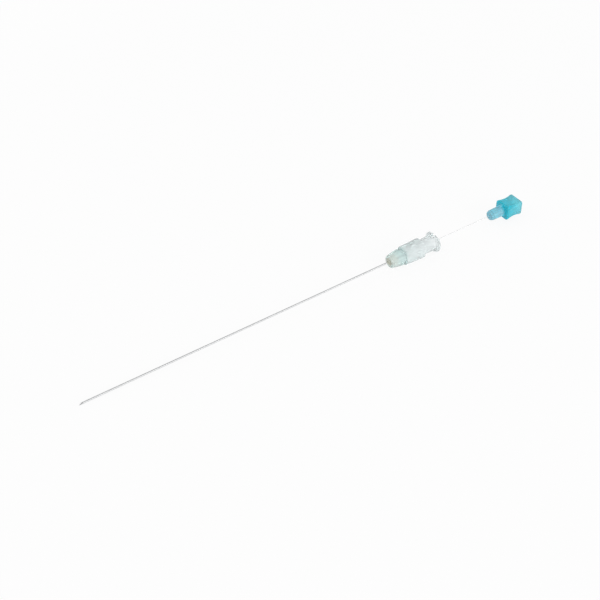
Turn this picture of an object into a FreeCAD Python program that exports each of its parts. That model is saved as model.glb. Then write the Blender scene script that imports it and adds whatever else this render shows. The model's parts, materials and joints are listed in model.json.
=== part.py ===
"""Spinal needle, 23 gauge by 120 mm, with its stylet drawn part of the way out.

The needle's own frame has its origin on the axis, at the mouth of the hub's tapered socket.
X runs back along the needle to the stylet's handle, so the ground tip is at minus X.
Z points up, to the side that the bevel, the key slot and the lens face.
Every piece is drawn in that frame, with the stylet pushed home. The placements then tip the
needle until it lies on its tip and on its grip, and draw the stylet out along the axis.
"""

import FreeCAD, Part  # noqa: E401,I001
import math
import os
import re
import Sketcher
from FreeCAD import Placement, Rotation, Vector

SHEET = "Sizes"
# How near two places must be, in millimetres, to count as the same when edges are chosen
SAME_PLACE = 1e-3

# Driving dimensions, in millimetres and degrees
DIMENSIONS = {
    # Steel tube and the grinding of its point
    "cannula_length": 120.0,
    "cannula_dia": 0.64,
    "lumen_dia": 0.34,
    "bevel_angle": 20.0,
    "lancet_angle": 26.0,
    "lancet_turn": 40.0,
    # Outside of the hub, from its front face to the mouth of its socket
    "hub_length": 20.3,
    "nose_length": 4.6,
    "nose_front_dia": 4.7,
    "nose_rear_dia": 6.2,
    "nose_round": 0.55,
    "neck_length": 1.2,
    "neck_dia": 4.8,
    "grip_length": 8.4,
    "grip_width": 6.2,
    "grip_height": 6.8,
    "grip_flare": 0.25,
    "grip_corner": 2.1,
    "grip_round": 0.4,
    "lens_dia": 2.8,
    "lens_rise": 0.3,
    "lens_root": 0.15,
    "barrel_front_dia": 5.6,
    "barrel_rear_dia": 6.0,
    "rim_dia": 6.8,
    "rim_thickness": 1.2,
    "rim_root": 0.3,
    "rim_chamfer": 0.15,
    "lug_dia": 7.8,
    "lug_span": 100.0,
    "lug_thickness": 1.2,
    "lug_slope": 0.4,
    # Inside of the hub
    "socket_dia": 4.3,
    "socket_taper": 0.06,
    "socket_depth": 7.6,
    "chamber_dia": 2.6,
    "chamber_length": 4.2,
    "funnel_length": 1.3,
    "funnel_end_dia": 0.4,
    "bond_gap": 0.02,
    "slot_width": 1.3,
    "slot_depth": 1.7,
    # Adhesive well in the hub's nose, and the fillet of adhesive round the tube
    "well_dia": 3.0,
    "well_depth": 2.6,
    "well_cone": 0.8,
    "meniscus_height": 1.0,
    # Stylet wire and its flattened tail
    "wire_dia": 0.30,
    "tail_width": 0.46,
    "tail_thickness": 0.16,
    "tail_length": 1.6,
    "tail_cover": 0.4,
    "mould_gap": 0.01,
    # Stylet handle
    "seat_gap": 0.1,
    "plug_length": 5.9,
    "plug_clearance": 0.03,
    "lead_length": 0.7,
    "lead_step": 0.2,
    "key_height": 0.6,
    "key_clearance": 0.15,
    "handle_length": 7.2,
    "handle_width": 6.55,
    "handle_height": 5.7,
    "handle_corner": 0.9,
    "handle_front_round": 0.3,
    "handle_rear_round": 0.4,
    "waist_length": 5.6,
    "waist_depth": 0.35,
    "handle_wall": 0.95,
    "cavity_corner": 0.5,
    "cavity_depth": 5.0,
    "boss_dia": 2.2,
    "boss_length": 2.6,
    # How far the stylet is drawn out of the hub
    "drawn_out": 32.0,
    # How far a cutting profile runs past the piece that it cuts
    "overrun": 1.0,
}

# Sizes that follow from the driving ones. All lengths along X count from the socket's mouth
DERIVED = {
    "tip_reach": "hub_length + cannula_length",
    "nose_end": "hub_length - nose_length",
    "grip_front": "nose_end - neck_length",
    "grip_rear": "grip_front - grip_length",
    "grip_middle": "(grip_front + grip_rear) / 2",
    "grip_draft": "atan(grip_flare / grip_length)",
    "lens_radius": "(lens_dia ^ 2 / 4 + lens_rise ^ 2) / (2 * lens_rise)",
    "lens_seat": "grip_height / 2 - grip_flare / 2",
    "socket_end_dia": "socket_dia - socket_taper * socket_depth",
    "chamber_end": "socket_depth + chamber_length",
    "funnel_end": "chamber_end + funnel_length",
    "bore_dia": "cannula_dia + 2 * bond_gap",
    "well_end": "hub_length - well_depth - well_cone",
    "meniscus_radius": "(well_dia - cannula_dia) / 2 + meniscus_height",
    "plug_tip": "plug_length - seat_gap",
    "plug_root_dia": "socket_dia - 2 * plug_clearance + socket_taper * seat_gap",
    "plug_tip_dia": "plug_root_dia - socket_taper * plug_length",
    "lead_start": "plug_tip - lead_length",
    "lead_start_dia": "plug_root_dia - socket_taper * (plug_length - lead_length)",
    "key_length": "slot_depth - key_clearance",
    "key_width": "slot_width - 2 * key_clearance",
    "handle_end": "seat_gap + handle_length",
    "handle_middle": "seat_gap + handle_length / 2",
    "waist_radius": "(waist_length ^ 2 / 4 + waist_depth ^ 2) / (2 * waist_depth)",
    "cavity_floor": "handle_end - cavity_depth",
    "tail_end": "cavity_floor + boss_length - tail_cover",
    "tail_start": "tail_end - tail_length",
    "foot_centre": "grip_rear + grip_round",
    "foot_drop": "grip_height / 2 - grip_round * (tan(grip_draft) + 1 / cos(grip_draft))",
    "foot_run": "tip_reach - foot_centre",
    "foot_rise": "foot_drop - cannula_dia / 2",
    "lie_angle": "atan(foot_rise / foot_run) + asin(grip_round / sqrt(foot_run ^ 2 + foot_rise ^ 2))",
}


def fill_sheet(doc):
    """Put every size in the spreadsheet, under its own name."""
    sheet = doc.addObject("Spreadsheet::Sheet", SHEET)
    cells = [(name, str(value)) for name, value in DIMENSIONS.items()]
    cells += [(name, "=" + formula) for name, formula in DERIVED.items()]
    for row, (name, content) in enumerate(cells, start=1):
        sheet.set(f"A{row}", name)
        sheet.set(f"B{row}", content)
        sheet.setAlias(f"B{row}", name)
    doc.recompute()


def in_sheet(formula):
    """Turn a formula of size names into an expression that any object can hold."""

    def qualified(word):
        known = word[0] in DIMENSIONS or word[0] in DERIVED
        return f"{SHEET}.{word[0]}" if known else word[0]

    return re.sub(r"[a-z]\w*", qualified, formula)


def size(doc, formula):
    """The present value of a formula of size names, in millimetres."""
    return float(doc.getObject(SHEET).evalExpression(in_sheet(formula)))


def new_body(doc, label):
    """An empty body, named for its piece."""
    body = doc.addObject("PartDesign::Body", label.title().replace("_", ""))
    body.Label = label
    return body


def sketch_on(body, role, shift="0", turn="0"):
    """A sketch on one of the body's origin planes, shifted along its normal.

    turn leans the plane about its own first axis, which is X on the XZ plane.
    """
    sketch = body.newObject("Sketcher::SketchObject", "Sketch")
    plane = next(part for part in body.Origin.OriginFeatures if part.Role == role)
    sketch.AttachmentSupport = [(plane, "")]
    sketch.MapMode = "FlatFace"
    sketch.AttachmentOffset = Placement(Vector(), Rotation(Vector(1, 0, 0), 1))
    sketch.setExpression("AttachmentOffset.Base.z", in_sheet(shift))
    sketch.setExpression("AttachmentOffset.Rotation.Angle", in_sheet(turn))
    return sketch


def draw_outline(sketch, points, arcs=None):
    """Close a profile through the points, each a pair of formulas.

    arcs gives the sides that are round, by the number of their first point. Each is the
    formula of a radius and 1 where the arc turns left on its way, or -1 where it turns right.
    """
    arcs = arcs or {}
    doc = sketch.Document
    places = [Vector(size(doc, across), size(doc, up), 0) for across, up in points]
    starts = []
    for side, place in enumerate(places):
        following = places[(side + 1) % len(places)]
        if side not in arcs:
            starts.append(1)
            sketch.addGeometry(Part.LineSegment(place, following), False)
            continue
        formula, hand = arcs[side]
        radius = size(doc, formula)
        chord = following - place
        left = Vector(-chord.y, chord.x, 0).normalize() * hand
        to_centre = math.sqrt(max(radius**2 - (chord.Length / 2) ** 2, 0.0))
        crown = (place + following) / 2 + left * (to_centre - radius)
        starts.append(1 if hand > 0 else 2)
        sketch.addGeometry(Part.Arc(place, crown, following), False)
        number = sketch.addConstraint(Sketcher.Constraint("Radius", side, radius))
        sketch.setExpression(f"Constraints[{number}]", in_sheet(formula))
    for side, (place, formulas) in enumerate(zip(places, points)):
        before = (side - 1) % len(places)
        end_before = 3 - starts[before]
        sketch.addConstraint(Sketcher.Constraint("Coincident", before, end_before, side, starts[side]))
        for kind, value, formula in zip(("DistanceX", "DistanceY"), (place.x, place.y), formulas):
            constraint = Sketcher.Constraint(kind, -1, 1, side, starts[side], value)
            number = sketch.addConstraint(constraint)
            sketch.setExpression(f"Constraints[{number}]", in_sheet(formula))


def draw_circle(sketch, diameter):
    """A circle about the sketch's origin."""
    radius = size(sketch.Document, diameter) / 2
    ring = sketch.addGeometry(Part.Circle(Vector(), Vector(0, 0, 1), radius), False)
    sketch.addConstraint(Sketcher.Constraint("Coincident", ring, 3, -1, 1))
    number = sketch.addConstraint(Sketcher.Constraint("Diameter", ring, 2 * radius))
    sketch.setExpression(f"Constraints[{number}]", in_sheet(diameter))


def draw_rectangle(sketch, width, height):
    """A rectangle about the sketch's origin."""
    left, right = f"-({width}) / 2", f"({width}) / 2"
    bottom, top = f"-({height}) / 2", f"({height}) / 2"
    draw_outline(sketch, [(left, bottom), (right, bottom), (right, top), (left, top)])


def finish_feature(body, feature, removes=False, base=None):
    """Work the feature out, and stop if it left the volume of its base as it was."""
    base = base or feature.BaseFeature
    before = base.Shape.Volume if base else 0.0
    body.Tip = feature
    body.Document.recompute()
    change = feature.Shape.Volume - before
    if change * (-1 if removes else 1) <= 0:
        raise RuntimeError(f"{body.Label}: {feature.Name} changes the volume by {change:.4f} mm3")
    return feature


def turn(body, sketch, removes=False, angle=None):
    """Turn a profile about X, into solid or out of it."""
    feature = body.newObject("PartDesign::Groove" if removes else "PartDesign::Revolution", "Turned")
    feature.Profile = sketch
    feature.ReferenceAxis = (sketch, ["H_Axis"])
    if angle:
        feature.Midplane = True
        feature.setExpression("Angle", in_sheet(angle))
    return finish_feature(body, feature, removes)


def extrude(body, sketch, length, removes=False, forwards=False, draft=None):
    """Pad or pocket a profile along its sketch's normal, or against it if forwards is set."""
    feature = body.newObject("PartDesign::Pocket" if removes else "PartDesign::Pad", "Extruded")
    feature.Profile = sketch
    feature.Reversed = forwards != removes
    feature.setExpression("Length", in_sheet(length))
    if draft:
        feature.setExpression("TaperAngle", in_sheet(draft))
    return finish_feature(body, feature, removes)


def cut_through(body, sketch):
    """Cut a profile right through the body, both ways from its sketch."""
    feature = body.newObject("PartDesign::Pocket", "CutThrough")
    feature.Profile = sketch
    feature.SideType = "Symmetric"
    feature.Type = "ThroughAll"
    return finish_feature(body, feature, removes=True)


def mirror(body, original, role, removes=False):
    """Repeat a feature on the other side of one of the body's origin planes."""
    feature = body.newObject("PartDesign::Mirrored", "Mirrored")
    feature.Originals = [original]
    plane = next(part for part in body.Origin.OriginFeatures if part.Role == role)
    feature.MirrorPlane = (plane, [""])
    return finish_feature(body, feature, removes, base=original)


def round_edges(body, radius, chosen):
    """Round the edges that the test chosen picks out."""
    base = body.Tip
    names = [f"Edge{n}" for n, edge in enumerate(base.Shape.Edges, start=1) if chosen(edge)]
    if not names:
        raise RuntimeError(f"{body.Label}: no edge found to round by {radius}")
    feature = body.newObject("PartDesign::Fillet", "Rounded")
    feature.Base = (base, names)
    feature.setExpression("Radius", in_sheet(radius))
    body.Tip = feature
    body.Document.recompute()


def lies_at(place):
    """A test for edges that lie in the plane square to X at the place given."""

    def chosen(edge):
        box = edge.BoundBox
        return max(abs(box.XMin - place), abs(box.XMax - place)) < SAME_PLACE

    return chosen


def runs_along(edge):
    """Whether an edge runs the length of the piece."""
    box = edge.BoundBox
    return box.XLength > 2 * max(box.YLength, box.ZLength)


def ring_at(place, diameter):
    """A test for a circular edge of the diameter given, at a place along X."""

    def chosen(edge):
        return lies_at(place)(edge) and abs(edge.BoundBox.ZLength - diameter) < SAME_PLACE

    return chosen


def grind(body, angle, lean="0"):
    """Grind one flat, a plane through the lowest point of the tube's front end.

    The tube and the wire are ground on the same plane, so the wire fills the lumen flush with
    the bevel when it is home. lean turns the plane about the needle, for the lancet flats.
    """
    sketch = sketch_on(body, "XZ_Plane", turn=lean)
    low = f"-cannula_dia / 2 * cos({lean})"
    top = "cannula_dia / 2 + overrun"
    far = f"-tip_reach + ({top} - ({low})) / tan({angle})"
    near = "-tip_reach - overrun"
    draw_outline(sketch, [("-tip_reach", low), (far, top), (near, top), (near, low)])
    cut_through(body, sketch)


def make_cannula(doc):
    """The steel tube, from its ground point to the shoulder in the hub that it stands on."""
    body = new_body(doc, "cannula")
    wall = sketch_on(body, "YZ_Plane", shift="-funnel_end")
    draw_circle(wall, "cannula_dia")
    draw_circle(wall, "lumen_dia")
    extrude(body, wall, "tip_reach - funnel_end", forwards=True)
    grind(body, "bevel_angle")
    grind(body, "lancet_angle", lean="lancet_turn")
    grind(body, "lancet_angle", lean="-lancet_turn")
    return body


def make_hub(doc):
    """The moulded hub: nose, neck, grip, barrel and rim outside, and socket and well inside."""
    body = new_body(doc, "hub")
    turned = [
        ("-hub_length", "0"),
        ("-hub_length", "nose_front_dia / 2"),
        ("-nose_end", "nose_rear_dia / 2"),
        ("-nose_end", "neck_dia / 2"),
        ("-grip_front", "neck_dia / 2"),
        ("-grip_front", "barrel_front_dia / 2"),
        ("-grip_rear", "barrel_front_dia / 2"),
        ("-rim_thickness", "barrel_rear_dia / 2"),
        ("-rim_thickness", "rim_dia / 2"),
        ("-rim_chamfer", "rim_dia / 2"),
        ("0", "rim_dia / 2 - rim_chamfer"),
        ("0", "0"),
    ]
    profile = sketch_on(body, "XZ_Plane")
    draw_outline(profile, turned)
    turn(body, profile)
    round_edges(body, "nose_round", ring_at(-size(doc, "hub_length"), size(doc, "nose_front_dia")))
    round_edges(body, "rim_root", ring_at(-size(doc, "rim_thickness"), size(doc, "barrel_rear_dia")))
    add_grip(body)
    add_lens(body)
    add_lugs(body)
    hollow_hub(body)
    return body


def add_grip(body):
    """The grip with its flat sides, which spreads a little to the rear."""
    doc = body.Document
    section = sketch_on(body, "YZ_Plane", shift="-grip_rear")
    draw_rectangle(section, "grip_width", "grip_height")
    extrude(body, section, "grip_length", forwards=True, draft="-grip_draft")
    barrel = size(doc, "barrel_front_dia") / 2

    def corner(edge):
        middle = edge.CenterOfMass
        return runs_along(edge) and math.hypot(middle.y, middle.z) > barrel + SAME_PLACE

    round_edges(body, "grip_corner", corner)
    for end in ("-grip_rear", "-grip_front"):
        at_end = lies_at(size(doc, end))

        def outline(edge, at_end=at_end):
            middle = edge.CenterOfMass
            return at_end(edge) and math.hypot(middle.y, middle.z) > barrel

        round_edges(body, "grip_round", outline)


def add_lens(body):
    """The low round lens on top of the grip, over the chamber that shows the first fluid."""
    cap = body.newObject("PartDesign::AdditiveSphere", "Lens")
    plane = next(part for part in body.Origin.OriginFeatures if part.Role == "XY_Plane")
    cap.AttachmentSupport = [(plane, "")]
    cap.MapMode = "FlatFace"
    cap.setExpression("AttachmentOffset.Base.x", in_sheet("-grip_middle"))
    cap.setExpression("AttachmentOffset.Base.z", in_sheet("lens_seat + lens_rise - lens_radius"))
    cap.setExpression("Radius", in_sheet("lens_radius"))
    base = "asin((lens_radius - lens_rise - lens_root) / lens_radius)"
    cap.setExpression("Angle1", in_sheet(base))
    finish_feature(body, cap)


def add_lugs(body):
    """The two lock lugs at the rim, with sloping front faces that a lock collar pulls on."""
    profile = sketch_on(body, "XY_Plane")
    lug = [
        ("-lug_thickness", "barrel_front_dia / 2"),
        ("0", "barrel_front_dia / 2"),
        ("0", "lug_dia / 2"),
        ("-(lug_thickness - lug_slope)", "lug_dia / 2"),
    ]
    draw_outline(profile, lug)
    mirror(body, turn(body, profile, angle="lug_span"), "XZ_Plane")


def hollow_hub(body):
    """The tapered socket, chamber, funnel, tube bore and glue well, and the key slot."""
    inside = [
        ("0", "0"),
        ("0", "socket_dia / 2"),
        ("-socket_depth", "socket_end_dia / 2"),
        ("-socket_depth", "chamber_dia / 2"),
        ("-chamber_end", "chamber_dia / 2"),
        ("-funnel_end", "funnel_end_dia / 2"),
        ("-funnel_end", "bore_dia / 2"),
        ("-well_end", "bore_dia / 2"),
        ("-well_end - well_cone", "well_dia / 2"),
        ("-hub_length", "well_dia / 2"),
        ("-hub_length", "0"),
    ]
    profile = sketch_on(body, "XZ_Plane")
    draw_outline(profile, inside)
    turn(body, profile, removes=True)
    slot = sketch_on(body, "YZ_Plane")
    low, high = "socket_end_dia / 2", "rim_dia / 2 + overrun"
    sides = ("-slot_width / 2", "slot_width / 2")
    draw_outline(slot, [(sides[0], low), (sides[1], low), (sides[1], high), (sides[0], high)])
    extrude(body, slot, "slot_depth", removes=True, forwards=True)


def make_adhesive(doc):
    """The cured adhesive that fills the well and climbs the tube in a hollow fillet."""
    body = new_body(doc, "adhesive")
    section = [
        ("-well_end", "cannula_dia / 2"),
        ("-well_end", "bore_dia / 2"),
        ("-well_end - well_cone", "well_dia / 2"),
        ("-hub_length", "well_dia / 2"),
        ("-hub_length - meniscus_height", "cannula_dia / 2"),
    ]
    profile = sketch_on(body, "XZ_Plane")
    draw_outline(profile, section, arcs={3: ("meniscus_radius", -1)})
    turn(body, profile)
    return body


def make_stylet_wire(doc):
    """The stylet's steel wire, ground with the tube, and flattened where the handle holds it."""
    body = new_body(doc, "stylet_wire")
    round_part = sketch_on(body, "YZ_Plane", shift="tail_start")
    draw_circle(round_part, "wire_dia")
    extrude(body, round_part, "tail_start + tip_reach", forwards=True)
    grind(body, "bevel_angle")
    tail = sketch_on(body, "YZ_Plane", shift="tail_end")
    draw_rectangle(tail, "tail_width", "tail_thickness")
    extrude(body, tail, "tail_length + wire_dia / 2", forwards=True)
    return body


def make_stylet_handle(doc):
    """The moulded handle: a waisted block, open at the rear, with a keyed tapered plug."""
    body = new_body(doc, "stylet_handle")
    block = sketch_on(body, "YZ_Plane", shift="seat_gap")
    draw_rectangle(block, "handle_width", "handle_height")
    extrude(body, block, "handle_length")
    round_edges(body, "handle_corner", runs_along)
    round_edges(body, "handle_rear_round", lies_at(size(doc, "handle_end")))
    round_edges(body, "handle_front_round", lies_at(size(doc, "seat_gap")))
    add_waist(body)
    add_plug(body)
    hollow_handle(body)
    return body


def add_waist(body):
    """The hollows in the handle's four sides, for finger and thumb."""
    front, rear = "handle_middle - waist_length / 2", "handle_middle + waist_length / 2"
    pairs = (("XY_Plane", "handle_width", "XZ_Plane"), ("XZ_Plane", "handle_height", "XY_Plane"))
    for plane, span, opposite in pairs:
        profile = sketch_on(body, plane)
        side, clear = f"{span} / 2", f"{span} / 2 + overrun"
        outline = [(front, side), (rear, side), (rear, clear), (front, clear)]
        draw_outline(profile, outline, arcs={0: ("waist_radius", 1)})
        mirror(body, cut_through(body, profile), opposite, removes=True)


def add_plug(body):
    """The plug that closes the hub's socket, with a thinner lead and the key for the slot."""
    turned = [
        ("seat_gap", "0"),
        ("seat_gap", "plug_root_dia / 2"),
        ("-lead_start", "lead_start_dia / 2"),
        ("-lead_start", "lead_start_dia / 2 - lead_step"),
        ("-plug_tip", "plug_tip_dia / 2 - lead_step"),
        ("-plug_tip", "0"),
    ]
    profile = sketch_on(body, "XZ_Plane")
    draw_outline(profile, turned)
    turn(body, profile)
    key = sketch_on(body, "YZ_Plane", shift="seat_gap")
    sides = ("-key_width / 2", "key_width / 2")
    top = "plug_root_dia / 2 + key_height"
    draw_outline(key, [(sides[0], "0"), (sides[1], "0"), (sides[1], top), (sides[0], top)])
    extrude(body, key, "seat_gap + key_length", forwards=True)


def hollow_handle(body):
    """The cavity at the rear, the boss in it, and the hole that the wire fills."""
    cavity = sketch_on(body, "YZ_Plane", shift="handle_end")
    inner = [f"{span} - 2 * (waist_depth + handle_wall)" for span in ("handle_width", "handle_height")]
    draw_rectangle(cavity, *inner)
    extrude(body, cavity, "cavity_depth", removes=True, forwards=True)
    doc = body.Document
    floor, width, height = size(doc, "cavity_floor"), size(doc, inner[0]), size(doc, inner[1])

    def corner(edge):
        middle = edge.CenterOfMass
        off_corner = max(abs(abs(middle.y) - width / 2), abs(abs(middle.z) - height / 2))
        return runs_along(edge) and off_corner < SAME_PLACE and middle.x > floor

    round_edges(body, "cavity_corner", corner)
    boss = sketch_on(body, "YZ_Plane", shift="cavity_floor")
    draw_circle(boss, "boss_dia")
    extrude(body, boss, "boss_length")
    hole = sketch_on(body, "YZ_Plane", shift="-plug_tip")
    draw_circle(hole, "wire_dia + 2 * mould_gap")
    extrude(body, hole, "plug_tip + tail_start + mould_gap", removes=True)
    tail = sketch_on(body, "YZ_Plane", shift="tail_end + mould_gap")
    draw_rectangle(tail, "tail_width + 2 * mould_gap", "tail_thickness + 2 * mould_gap")
    extrude(body, tail, "tail_length + wire_dia / 2 + 2 * mould_gap", removes=True, forwards=True)


def lay_down(body, drawn="0"):
    """Tip a piece with the needle as it lies, and draw it out along the tipped axis."""
    body.Placement = Placement(Vector(), Rotation(Vector(0, 1, 0), -1))
    body.setExpression("Placement.Rotation.Angle", in_sheet("-lie_angle"))
    body.setExpression("Placement.Base.x", in_sheet(f"{drawn} * cos(lie_angle)"))
    body.setExpression("Placement.Base.z", in_sheet(f"{drawn} * sin(lie_angle)"))


def check(doc, bodies):
    """Stop if any object failed to work out, or any piece isn't one valid solid."""
    failed = [part.Label for part in doc.Objects if {"Invalid", "Error"} & set(part.State)]
    if failed:
        raise RuntimeError("failed objects: " + ", ".join(failed))
    for body in bodies:
        shape = body.Shape
        if shape.isNull() or not shape.isValid() or len(shape.Solids) != 1:
            raise RuntimeError(f"{body.Label} isn't one valid solid")


def main():
    doc = FreeCAD.newDocument("SpinalNeedle")
    fill_sheet(doc)
    needle = [make_cannula(doc), make_hub(doc), make_adhesive(doc)]
    stylet = [make_stylet_wire(doc), make_stylet_handle(doc)]
    for body in needle:
        lay_down(body)
    for body in stylet:
        lay_down(body, drawn="drawn_out")
    doc.recompute()
    check(doc, needle + stylet)
    os.makedirs("parts", exist_ok=True)
    for body in needle + stylet:
        body.Shape.exportStep(f"parts/{body.Label}.step")


main()
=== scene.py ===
"""Spinal needle with its stylet drawn out: the finished look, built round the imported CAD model.

Every surface is worked out in the needle's own frame, in millimetres, with the stylet home:
X runs back along the needle from the mouth of the hub's socket, Y to the side and Z up, to
the side of the bevel and the key slot. place() then tips it as it lies and draws it out.
A surface is a grid of points. Its rows follow a line along the piece and its columns go
round it, from the top towards +Y.
"""

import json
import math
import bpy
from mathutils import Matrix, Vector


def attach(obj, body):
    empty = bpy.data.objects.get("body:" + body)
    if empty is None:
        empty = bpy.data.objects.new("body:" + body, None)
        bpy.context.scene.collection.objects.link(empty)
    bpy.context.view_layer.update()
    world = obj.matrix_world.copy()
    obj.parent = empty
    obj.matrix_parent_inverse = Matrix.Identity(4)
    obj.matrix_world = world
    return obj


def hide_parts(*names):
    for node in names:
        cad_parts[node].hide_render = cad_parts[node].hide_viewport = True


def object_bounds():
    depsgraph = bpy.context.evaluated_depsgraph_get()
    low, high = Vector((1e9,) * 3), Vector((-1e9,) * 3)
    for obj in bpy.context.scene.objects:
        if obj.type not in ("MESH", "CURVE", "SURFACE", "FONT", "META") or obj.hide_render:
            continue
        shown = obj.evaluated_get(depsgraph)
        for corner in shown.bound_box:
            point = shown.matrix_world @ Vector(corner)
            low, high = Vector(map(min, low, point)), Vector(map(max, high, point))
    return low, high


bl_info = {
    "name": "Spinal needle",
    "version": (1, 0, 0),
    "blender": (4, 5, 0),
    "location": "3D View > Sidebar > Needle",
    "description": "Builds the finished look of a spinal needle and its stylet",
    "category": "Object",
}

from types import SimpleNamespace

import bmesh
import bpy
import numpy as np
from bpy.props import FloatProperty, FloatVectorProperty, PointerProperty
from mathutils import Vector

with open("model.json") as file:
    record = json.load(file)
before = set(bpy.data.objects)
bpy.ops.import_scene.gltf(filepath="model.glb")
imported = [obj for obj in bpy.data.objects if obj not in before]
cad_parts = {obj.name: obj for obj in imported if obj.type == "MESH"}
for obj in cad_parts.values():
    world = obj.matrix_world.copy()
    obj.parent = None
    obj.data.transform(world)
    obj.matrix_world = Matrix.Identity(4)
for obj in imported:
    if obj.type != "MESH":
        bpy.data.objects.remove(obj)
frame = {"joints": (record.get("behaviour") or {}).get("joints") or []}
CAD_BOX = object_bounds()

MM = 0.001
SLIDE = frame["joints"][0]
LEAN = math.atan2(SLIDE["axis"][2], SLIDE["axis"][0])
DRAWN_OUT = -SLIDE["range_m"][0] / MM
# How far a bonded piece runs into its neighbour, so that no air shows between them
BOND = 0.01
# How much the socket narrows over its depth, as the standard lock fitting does
TAPER = 0.06
# How far the end rows of the hub's round parts reach out over the grip's ends
COLLAR = 0.12
# The lugs lie to the sides. Each spans an angle, in degrees, and its ends rise over a small one
LUG_SPAN = 100.0
LUG_RISE = 2.4
# What counts as no distance, in the unit at hand
TINY = 1e-6


# Sizes and colours that a user can change


def length(name, description, millimetres):
    """A length property whose default is given in millimetres."""
    return FloatProperty(
        name=name, description=description, default=millimetres * MM, min=0.0, precision=5, unit="LENGTH"
    )


def colour(name, description, red, green, blue):
    """A colour property with a linear default."""
    return FloatVectorProperty(
        name=name, description=description, default=(red, green, blue), min=0.0, max=1.0, subtype="COLOR"
    )


def angled(name, description, degrees):
    """An angle property whose default is given in degrees."""
    return FloatProperty(name=name, description=description, default=math.radians(degrees), unit="ROTATION")


class NeedleSteelSizes(bpy.types.PropertyGroup):
    """Sizes of the steel tube and of the stylet's wire."""

    tip: length("Tip", "From the socket's mouth to the tip of the bevel", 140.3)
    shoulder: length("Shoulder", "From the socket's mouth to the shoulder that the tube stands on", 13.1)
    tube: length("Tube", "Outside diameter of the tube", 0.64)
    lumen: length("Lumen", "Inside diameter of the tube", 0.34)
    wire: length("Wire", "Diameter of the stylet's wire", 0.30)
    tail_start: length("Tail start", "Where the wire begins to flatten, behind the mouth, stylet home", 2.9)
    tail_end: length("Tail end", "Where the wire ends in the handle, stylet home", 4.5)
    tail_width: length("Tail width", "Width of the flattened tail", 0.46)
    tail_thickness: length("Tail thickness", "Thickness of the flattened tail", 0.16)


class NeedlePointAngles(bpy.types.PropertyGroup):
    """Angles that the point is ground to."""

    bevel: angled("Bevel", "Angle of the long bevel to the tube", 20)
    lancet: angled("Lancet", "Angle of the two side flats to the tube", 26)
    turned: angled("Lancet turn", "How far the side flats are turned round the tube", 40)


class NeedleHubSizes(bpy.types.PropertyGroup):
    """Sizes of the moulded hub."""

    reach: length("Hub length", "From the front face to the socket's mouth", 20.3)
    nose: length("Nose length", "Length of the cone at the front", 4.6)
    nose_front: length("Nose front", "Diameter of the cone at its front face", 4.7)
    nose_rear: length("Nose rear", "Diameter of the cone at its rim", 6.2)
    nose_round: length("Nose rounding", "Rounding of the front face's edge", 0.55)
    neck: length("Neck length", "Length of the neck behind the cone", 1.2)
    neck_wide: length("Neck", "Diameter of the neck", 4.8)
    grip: length("Grip length", "Length of the grip", 8.4)
    grip_wide: length("Grip width", "Width of the grip at its rear end", 6.2)
    grip_high: length("Grip height", "Height of the grip at its rear end", 6.8)
    grip_flare: length("Grip flare", "How much each side spreads to the rear", 0.25)
    grip_corner: length("Grip corner", "Rounding of the grip's four long edges", 2.1)
    grip_round: length("Grip rounding", "Rounding of the grip's end edges", 0.4)
    lens_wide: length("Lens", "Diameter of the low lens on top of the grip", 2.8)
    lens_rise: length("Lens rise", "How far the lens stands up", 0.3)
    barrel_front: length("Barrel front", "Diameter of the barrel behind the grip", 5.6)
    barrel_rear: length("Barrel rear", "Diameter of the barrel at the rim", 6.0)
    rim_wide: length("Rim", "Diameter of the rim", 6.8)
    rim_thick: length("Rim thickness", "Thickness of the rim", 1.2)
    lug_wide: length("Lugs", "Diameter over the two lock lugs", 7.8)
    lug_slope: length("Lug slope", "Length of the slope on the lugs' front faces", 0.4)
    socket_wide: length("Socket", "Diameter of the socket's mouth", 4.3)
    socket_end: length("Socket end", "Diameter of the socket's bottom", 3.844)
    socket_deep: length("Socket depth", "Depth of the tapered socket", 7.6)
    chamber_wide: length("Chamber", "Diameter of the chamber before the socket", 2.6)
    chamber_end: length("Chamber end", "From the mouth to the front end of the chamber", 11.8)
    funnel_wide: length("Funnel", "Diameter of the funnel where it meets the tube", 0.4)
    well_wide: length("Well", "Diameter of the glue well in the nose", 3.0)
    well_deep: length("Well depth", "Depth of the glue well's straight part", 2.6)
    well_cone: length("Well cone", "Length of the cone at the glue well's bottom", 0.8)
    meniscus: length("Meniscus", "How far the glue climbs along the tube", 1.0)
    slot_wide: length("Slot width", "Width of the key slot", 1.3)
    slot_deep: length("Slot depth", "Depth of the key slot along the needle", 1.7)


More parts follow.
